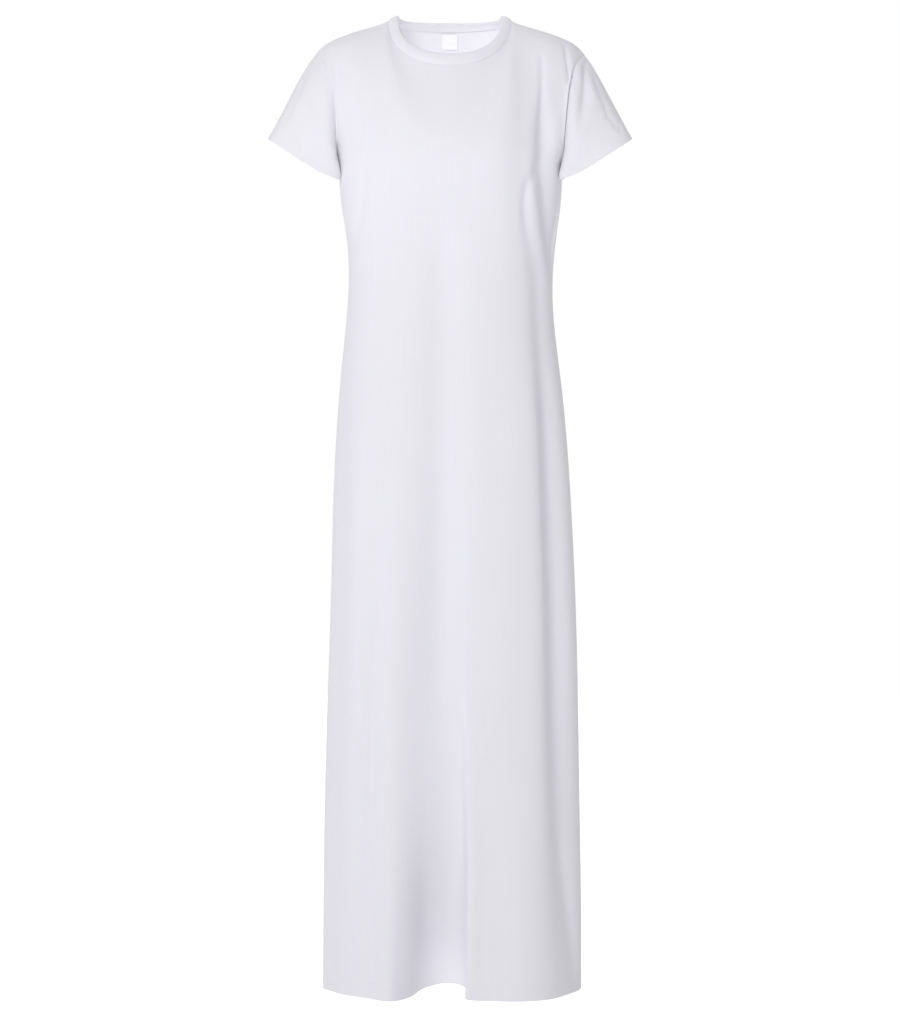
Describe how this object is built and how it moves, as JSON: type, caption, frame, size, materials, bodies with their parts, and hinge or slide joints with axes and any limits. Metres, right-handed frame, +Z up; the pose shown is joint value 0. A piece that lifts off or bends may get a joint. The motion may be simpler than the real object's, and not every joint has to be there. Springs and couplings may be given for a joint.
{
  "type": "maxi dress",
  "caption": "Ankle-length jersey dress with a round ribbed neck and short set-in sleeves, filled out and hollow as if worn, hanging in soft folds to an open hem.",
  "frame": {"origin": "middle of the neck opening, level with the neck ends of the two shoulder seams, where the wearer's shoulders hold the dress up", "axes": "+Z up, the front of the dress faces -Y, +X is the viewer's right when looking at the front"},
  "size_m": [0.5372, 0.2544, 1.4383],
  "materials": {
    "front": "matt cotton jersey",
    "back": "matt cotton jersey",
    "sleeve_left": "matt cotton jersey",
    "sleeve_right": "matt cotton jersey",
    "neckband": "matt cotton rib",
    "label": "smooth woven tape"
  },
  "bodies": {
    "root": {"front": "front", "back": "back", "sleeve_left": "sleeve_left", "sleeve_right": "sleeve_right", "neckband": "neckband", "label": "label"}
  },
  "joints": []
}
